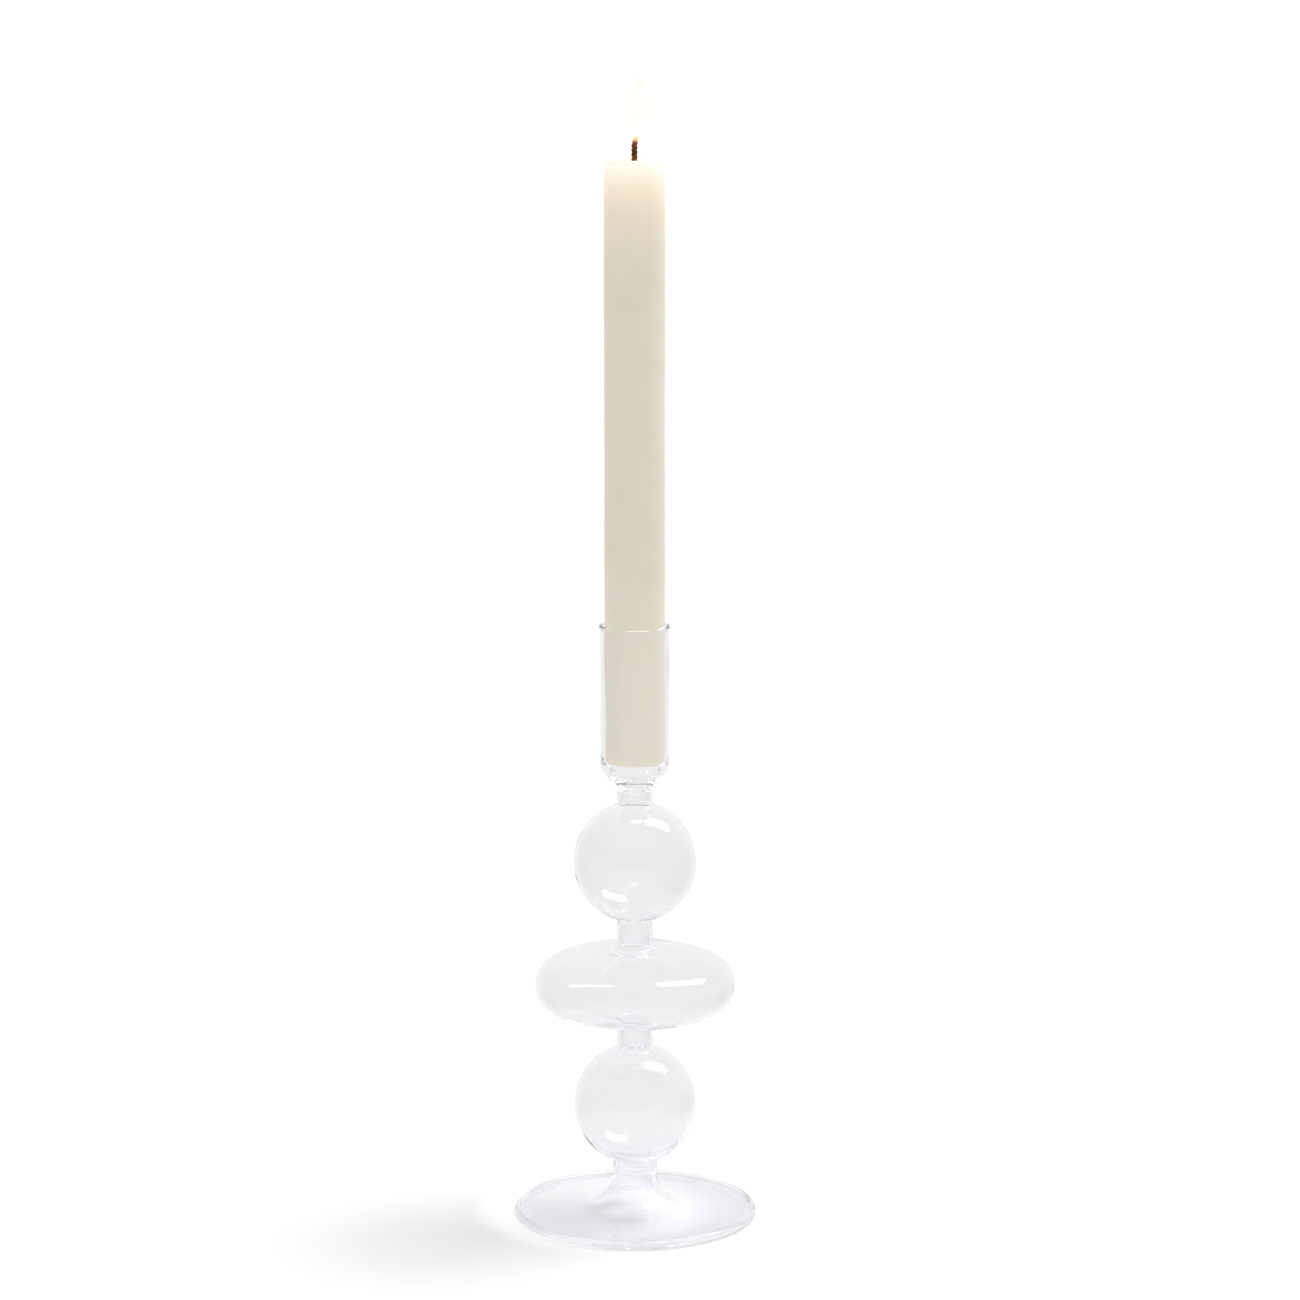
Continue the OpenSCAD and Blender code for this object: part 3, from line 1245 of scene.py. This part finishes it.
@dataclass
class Candle:
    """Dinner candle with a melt pool round its wick."""

    diameter: float = 22
    length: float = 219.5
    base_step: float = 0.2
    taper_l: float = 18
    base_edge: float = 0.4
    top_edge: float = 1.6
    taper_step: float = 0.15
    taper_blend: float = 1.5
    pool_depth: float = 1.0
    pool_rings: int = 15
    wick_d: float = 2.2
    wander_mm: float = 0.05
    # for each wave of the skin: its length over 2 pi, its folds round the candle, phase and size
    skin_waves: tuple[tuple[float, ...], ...] = ((17, 2, 0.0, 1.0), (7.3, -3, 1.3, 0.6))
    even_top: float = 4.0
    # for each wave of the melted rim: its folds round the candle, phase and size
    melt_waves: tuple[tuple[float, ...], ...] = ((1, 0.7, 0.25), (3, 0.0, 0.15))
    melt_depth: float = 5.0
    melt_sink: float = 0.25
    step_mm: float = 1.2
    around: int = 128

    def outline(self, low_z: float) -> list[Ring]:
        """Gives the candle's section from the lower end round to the wick's bore.

        Args:
            low_z: height of the candle's lower end.

        Returns:
            One run of rings, counter-clockwise.
        """
        r, bore = self.diameter / 2, self.wick_d / 2
        base_r = r - self.base_step / 2
        pool_r = r - self.top_edge
        taper_z, top = low_z + self.taper_l, low_z + self.length
        shell = np.concatenate([
            [[bore, low_z]],
            arc((base_r - self.base_edge, low_z + self.base_edge), self.base_edge, -90, 0),
            [[r - self.taper_step, taper_z - self.taper_blend]], [[r, taper_z + self.taper_blend]],
            arc((pool_r, top - self.top_edge), self.top_edge, 0, 90),
        ])
        around = lengths(shell)[-1]
        even = at_lengths(shell, np.linspace(0, around, round(around / self.step_mm)))
        share = np.linspace(1, bore / pool_r, self.pool_rings + 1)[1:]
        pool = np.column_stack([share * pool_r, top - self.pool_depth * (1 - share**2)])
        return [Ring(np.concatenate([even, pool]), False)]

    def build(self, wax: bpy.types.Material) -> None:
        """Makes and dresses the candle.

        Args:
            wax: its finish.
        """
        low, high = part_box("candle")
        low_z, top_z = low.z / MM, high.z / MM

        def shape(points: Array, inner: Array) -> Array:
            """Gives the skin its slight waviness and the rim its uneven melt.

            Args:
                points: rings of points in millimetres.
                inner: which rings are inner, of which it has none; not used.

            Returns:
                The moved points.
            """
            turn = np.arctan2(points[..., 1], points[..., 0])
            z = points[..., 2]
            wave = sum(
                size * np.sin(z / length + folds * turn + phase)
                for length, folds, phase, size in self.skin_waves
            )
            radial = points * [1, 1, 0]
            reach = np.linalg.norm(radial, axis=-1, keepdims=True)
            body = (reach > self.diameter / 4) * (z[..., None] < top_z - self.even_top)
            push = radial / np.maximum(reach, TINY) * wave[..., None] * self.wander_mm
            moved = points + push * body
            melt = np.clip((z - top_z + self.melt_depth) / self.melt_depth, 0, 1) ** 2
            melt *= np.clip(reach[..., 0] / (self.diameter / 2), 0, 1)
            rise = [size * np.sin(folds * turn + lag) for folds, lag, size in self.melt_waves]
            moved[..., 2] += melt * (sum(rise) - self.melt_sink)
            return moved

        piece = turned("dinner_candle", self.outline(low_z), True, self.around, shape)
        dress(piece, [wax], Body.CANDLE, ["candle"])


@dataclass
class Wick:
    """Braided cotton wick, laid up from three strands, which leans over where it burns."""

    diameter: float = 2.2
    strands: int = 3
    lay_mm: float = 5.0
    lean_mm: float = 0.7
    lean_from_mm: float = 4.0
    strand_share: float = 0.54
    burnt_away: float = 0.45
    tip_mm: float = 0.25
    hidden_step: float = 0.7
    bare_step: float = 0.2
    bare_from_mm: float = 4.0
    around: int = 10

    def strand(self, phase: float, low_z: float, top_z: float, wax_z: float) -> tuple[list, list]:
        """Sweeps one strand along its helix.

        Args:
            phase: where round the wick the strand starts, in radians.
            low_z: height of the wick's lower end.
            top_z: height of its tip.
            wax_z: height of the wax that it stands out of.

        Returns:
            The strand's vertices in millimetres and its faces.
        """
        strand_r = self.diameter / 2 * self.strand_share
        reach = self.diameter / 2 - strand_r
        bare_z, end_z = wax_z - self.bare_from_mm, top_z - self.tip_mm
        hidden = np.arange(low_z, bare_z, self.hidden_step)
        bare = np.arange(bare_z, end_z, self.bare_step)
        z = np.concatenate([hidden, bare, [end_z]])[:, None]
        turn = phase + 2 * math.pi * (z - low_z) / self.lay_mm
        bend = np.maximum(0, (z - (top_z - self.lean_from_mm)) / self.lean_from_mm)
        burnt = 1 - self.burnt_away * bend**3
        spin = 2 * math.pi * np.arange(self.around) / self.around
        x = self.lean_mm * bend**2 + reach * burnt * np.cos(turn) + strand_r * burnt * np.cos(spin)
        y = reach * burnt * np.sin(turn) + strand_r * burnt * np.sin(spin)
        end_turn = phase + 2 * math.pi * (top_z - low_z) / self.lay_mm
        tip_x = self.lean_mm + reach * (1 - self.burnt_away) * math.cos(end_turn)
        vertices = [tuple(v) for v in np.stack([x, y, z + 0 * x], axis=-1).reshape(-1, 3)]
        vertices += [(0.0, 0.0, low_z), (tip_x, 0.0, top_z)]
        faces, last = [], (len(z) - 1) * self.around
        for j in range(self.around):
            k = (j + 1) % self.around
            for i in range(0, last, self.around):
                faces.append([i + j, i + k, i + self.around + k, i + self.around + j])
            faces += [[k, j, len(vertices) - 2], [last + j, last + k, len(vertices) - 1]]
        return vertices, faces

    def build(self, cotton: bpy.types.Material, wax_z: float) -> None:
        """Makes and dresses the wick.

        Args:
            cotton: its finish.
            wax_z: height of the wax that it stands out of.
        """
        low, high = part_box("wick")
        vertices: list[tuple[float, ...]] = []
        faces: list[list[int]] = []
        for k in range(self.strands):
            phase = 2 * math.pi * k / self.strands
            more, sides = self.strand(phase, low.z / MM, high.z / MM, wax_z)
            faces += [[len(vertices) + i for i in side] for side in sides]
            vertices += more
        mesh = bpy.data.meshes.new("braided_wick")
        mesh.from_pydata([tuple(c * MM for c in v) for v in vertices], [], faces)
        mesh.polygons.foreach_set("use_smooth", [True] * len(faces))
        piece = placed("braided_wick", mesh)
        dress(piece, [cotton], Body.CANDLE, ["wick"])


@dataclass
class Flame:
    """Candle flame: a slim drop round the wick's upper end that leans with the draught."""

    width: float = 7.6
    below_tip: float = 3.2
    height: float = 24.6
    widest: float = 0.7
    fullness: float = 0.8
    offset: float = 0.4
    lean: float = 2.4
    lean_power: float = 1.2
    draw_back: float = 0.45
    rings: int = 60
    around: int = 64

    def build(self, gas: Callable[[float, float], bpy.types.Material]) -> None:
        """Makes and dresses the flame.

        Args:
            gas: makes its finish, given its lowest and highest height.
        """
        tip_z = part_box("wick")[1].z / MM
        low_z = tip_z - self.below_tip
        share = (1 - np.cos(np.linspace(0, math.pi, self.rings))) / 2
        # a drop: round below, widest at a third of its height, drawn to a point above
        form = np.sin(math.pi * share**self.widest) ** self.fullness
        form *= self.width / 2 / form.max()
        form[[0, -1]] = 0
        outline = np.column_stack([form, low_z + share * self.height])

        def shape(points: Array, inner: Array) -> Array:
            """Leans the flame to one side as it rises.

            Args:
                points: rings of points in millimetres.
                inner: which rings are inner, of which it has none; not used.

            Returns:
                The moved points.
            """
            rise = np.clip((points[..., 2] - low_z) / self.height, 0, 1)
            moved = points.copy()
            bend = rise**self.lean_power - self.draw_back * rise**3
            moved[..., 0] += self.offset + self.lean * bend
            return moved

        piece = turned("candle_flame", [Ring(outline, False)], False, self.around, shape)
        dress(piece, [gas(low_z, low_z + self.height)], Body.CANDLE, [])


# ---------------------------------------------------------------- studio


@dataclass
class Studio:
    """Plain pale floor, soft white light from behind and above, and the camera."""

    camera_place: tuple[float, float, float] = (0.0, -1.503, 0.4839)
    camera_pitch: float = 0.1782
    camera_yaw: float = 0.0037
    lens: float = 116.17
    sensor: float = 36.0
    floor_m: float = 60.0
    key_way: tuple[float, float, float] = (0.47, 0.22, 0.855)
    key_distance: float = 1.8
    key_size: tuple[float, float] = (0.5, 1.15)
    key_radiance: float = 4.2
    floor_key_size: tuple[float, float] = (1.5, 1.5)
    floor_key_radiance: float = 3.3
    rim_way: tuple[float, float, float] = (0.1, -0.55, 0.83)
    rim_size: tuple[float, float] = (1.8, 1.0)
    rim_radiance: float = 11.0
    floor_gap_mm: float = 0.05
    bounces: int = 64
    clear_bounces: int = 48
    wall: tuple[tuple[float, float], ...] = (
        (0.0, 0.62), (0.30, 0.75), (0.50, 0.84), (0.75, 0.88), (0.90, 0.93),
    )
    wall_blue: float = 0.02
    card: float = 0.85
    room: tuple[tuple[float, float], ...] = ((0.15, 1.25), (0.55, 0.22))

    def floor(self, paper: bpy.types.Material) -> bpy.types.Object:
        """Lays the floor a hair below the foot.

        Args:
            paper: its finish.

        Returns:
            The floor.
        """
        half = self.floor_m / 2
        mesh = bpy.data.meshes.new("floor")
        corners = [(-half, -half), (half, -half), (half, half), (-half, half)]
        z = -self.floor_gap_mm * MM
        mesh.from_pydata([(x, y, z) for x, y in corners], [], [(0, 1, 2, 3)])
        mesh.materials.append(paper)
        floor = placed("floor", mesh)
        return floor

    def lamp(
        self,
        name: str,
        towards: tuple[float, float, float],
        size: tuple[float, float],
        radiance: float,
        only: bpy.types.Object | None = None,
    ) -> None:
        """Hangs a soft box that faces the foot of the object.

        Args:
            name: the lamp's name.
            towards: direction in which it hangs.
            size: its width and height.
            radiance: its brightness.
            only: the one object that it lights, if it has a flag round it.
        """
        light = bpy.data.lights.new(name, "AREA")
        light.shape = "RECTANGLE"
        light.size, light.size_y = size
        light.energy = radiance * math.pi * light.size * light.size_y
        way = Vector(towards).normalized()
        lamp = placed(name, light)
        lamp.location = way * self.key_distance
        lamp.rotation_mode = "QUATERNION"
        lamp.rotation_quaternion = way.to_track_quat("Z", "Y")
        if only is not None:
            lit = bpy.data.collections.new(f"{name}_lights")
            lit.objects.link(only)
            lamp.light_linking.receiver_collection = lit

    def sky(self) -> None:
        """Surrounds the studio with white, brightest behind and dimmest in front."""
        world = bpy.data.worlds.new("studio")
        world.use_nodes = True
        nodes = Shading(world.node_tree)
        place = nodes.add("TexCoord").outputs["Generated"]
        parts = nodes.add("SeparateXYZ", {"Vector": place}).outputs
        behind = nodes.add("MapRange", {"Value": parts["Y"], "From Min": -1.0, "From Max": 1.0})
        shades = [(at, grey(value, self.wall_blue)) for at, value in self.wall]
        wall = nodes.add("ValToRGB", {"Fac": behind}, ramp=shades)
        # a black card on the left draws the right-hand outlines
        card = nodes.add("MapRange", {
            "Value": parts["X"], "From Min": -0.35, "From Max": -0.85, "To Min": 1.0,
            "To Max": self.card,
        }, interpolation_type="SMOOTHSTEP")
        carded = nodes.add(
            "Mix", {"Factor": 1.0, "A": wall, "B": card}, data_type="RGBA", blend_type="MULTIPLY"
        )
        # matt surfaces are lit by a dimmer room, brightest low down, so the soft box models them
        low = [(at, grey(value)) for at, value in self.room]
        room = nodes.add("ValToRGB", {"Fac": parts["Z"]}, ramp=low)
        path = nodes.add("LightPath").outputs
        matt, camera = path["Is Diffuse Ray"], path["Is Camera Ray"]
        lit = nodes.add("Mix", {"Factor": matt, "A": carded, "B": room}, data_type="RGBA")
        seen = nodes.add("Mix", {"Factor": camera, "A": lit, "B": grey(1.0)}, data_type="RGBA")
        back = nodes.add("Background", {"Color": seen, "Strength": 1.0})
        nodes.add("OutputWorld", {"Surface": back})
        bpy.context.scene.world = world

    def camera(self) -> None:
        """Puts up the camera, level from side to side."""
        data = bpy.data.cameras.new("camera")
        data.lens, data.sensor_width = self.lens, self.sensor
        camera = placed("camera", data)
        camera.location = self.camera_place
        pitch, yaw = self.camera_pitch, self.camera_yaw
        ahead = math.cos(pitch)
        way = Vector((math.sin(yaw) * ahead, math.cos(yaw) * ahead, -math.sin(pitch)))
        camera.rotation_mode = "QUATERNION"
        camera.rotation_quaternion = way.to_track_quat("-Z", "Y")
        bpy.context.scene.camera = camera

    def rays(self) -> None:
        """Lets light pass through the many walls of the hollow glass."""
        scene = bpy.context.scene
        scene.view_settings.view_transform = "Standard"
        cycles = scene.cycles
        cycles.max_bounces = cycles.transmission_bounces = cycles.glossy_bounces = self.bounces
        cycles.transparent_max_bounces = self.clear_bounces

    def build(self, paper: bpy.types.Material) -> None:
        """Sets up the whole studio.

        Args:
            paper: finish of its floor.
        """
        self.camera()
        floor = self.floor(paper)
        cup = bpy.data.objects["glass_candle_cup"]
        for name, way, size, radiance, only in (
            ("key_softbox", self.key_way, self.key_size, self.key_radiance, None),
            ("floor_softbox", self.key_way, self.floor_key_size, self.floor_key_radiance, floor),
            ("rim_softbox", self.rim_way, self.rim_size, self.rim_radiance, cup),
        ):
            self.lamp(name, way, size, radiance, only)
        self.sky()
        self.rays()


# ---------------------------------------------------------------- making


def welds() -> tuple[Weld, ...]:
    """Places a weld in each neck, from the frame's own heights.

    Returns:
        The welds, from the foot up.
    """
    found = []
    for node, share, tilt, towards in (
        ("foot_neck", 0.35, 0.3, 200), ("disc_lower_neck", 0.22, 0.4, 160),
        ("disc_upper_neck", 0.72, 0.5, 250), ("upper_neck", 0.55, 0.4, 170),
    ):
        low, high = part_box(node)
        z = (low.z + (high.z - low.z) * share) / MM
        found.append(Weld(z, swell=0.08, choke=0.3, width=0.9, tilt=tilt, towards=towards))
    return tuple(found)


def main() -> None:
    logging.basicConfig(level=logging.INFO, format="%(name)s: %(message)s")
    hands = HandWork(welds())
    glass = BorosilicateGlass()
    # the cup takes a copy of the glass that casts no shade, so the wax in it is not shaded by it
    tube = BorosilicateGlass("borosilicate_glass_casting_no_shade", shade="FFFFFF", rim_shade="FFFFFF")
    GlassStem().build(glass.material(), tube.material(), FusedFace().material(), hands)
    candle_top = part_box("candle")[1].z / MM
    wick_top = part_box("wick")[1].z / MM
    cup_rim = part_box("candle_cup")[1].z / MM
    Candle().build(DinnerWax(candle_top, cup_rim).material())
    Wick().build(CharredCotton(wick_top, candle_top - 1).material(), candle_top - 1)
    Flame().build(lambda low, high: CandleFlame(low, high).material())
    Studio().build(StudioPaper().material())


if __name__ == "__main__":
    main()
